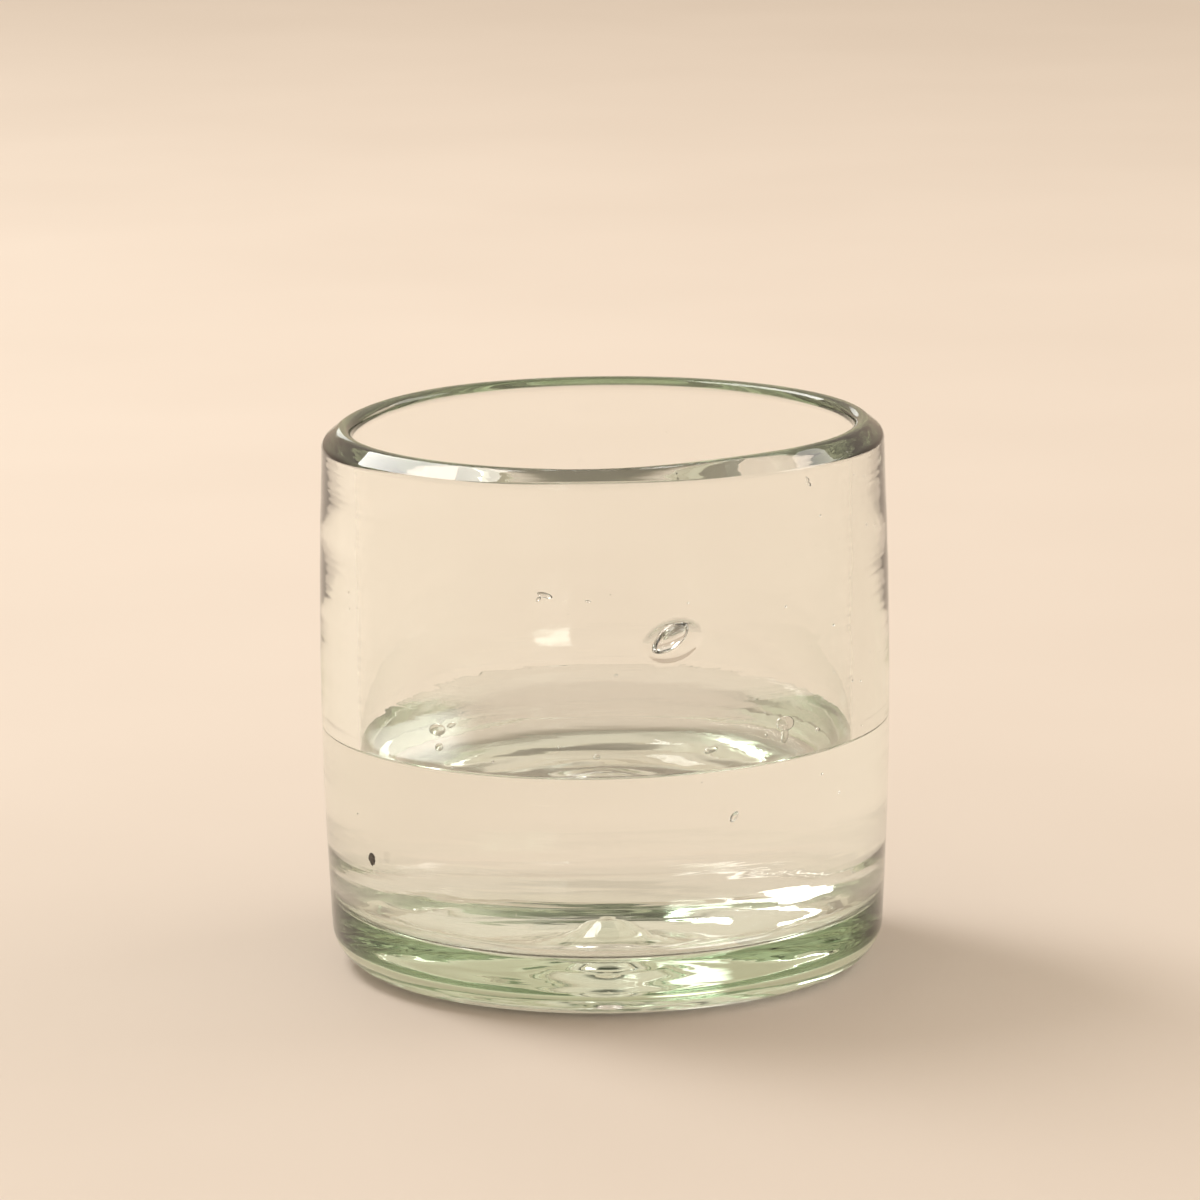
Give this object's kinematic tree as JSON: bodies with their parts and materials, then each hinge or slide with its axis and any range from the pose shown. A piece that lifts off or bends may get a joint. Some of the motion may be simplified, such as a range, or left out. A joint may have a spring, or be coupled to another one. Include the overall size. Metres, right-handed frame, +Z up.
{
  "type": "drinking tumbler with water",
  "caption": "Heavy free-blown tumbler with a sloping fire-polished lip, barrelled wall, thick dished base with a punt, trapped bubbles, and a drink of water inside.",
  "frame": {"origin": "middle of the foot, on the surface the tumbler stands on", "axes": "+Z up along the tumbler's axis, towards the mouth; -Y faces the picture's camera"},
  "size_m": [0.0896, 0.0896, 0.086],
  "materials": {
    "green_glass": "fire-polished blown glass, pale green, with fine draw lines and seed bubbles",
    "water": "clear still water"
  },
  "bodies": {
    "root": {"tumbler_glass": "green_glass", "water": "water"}
  },
  "joints": []
}
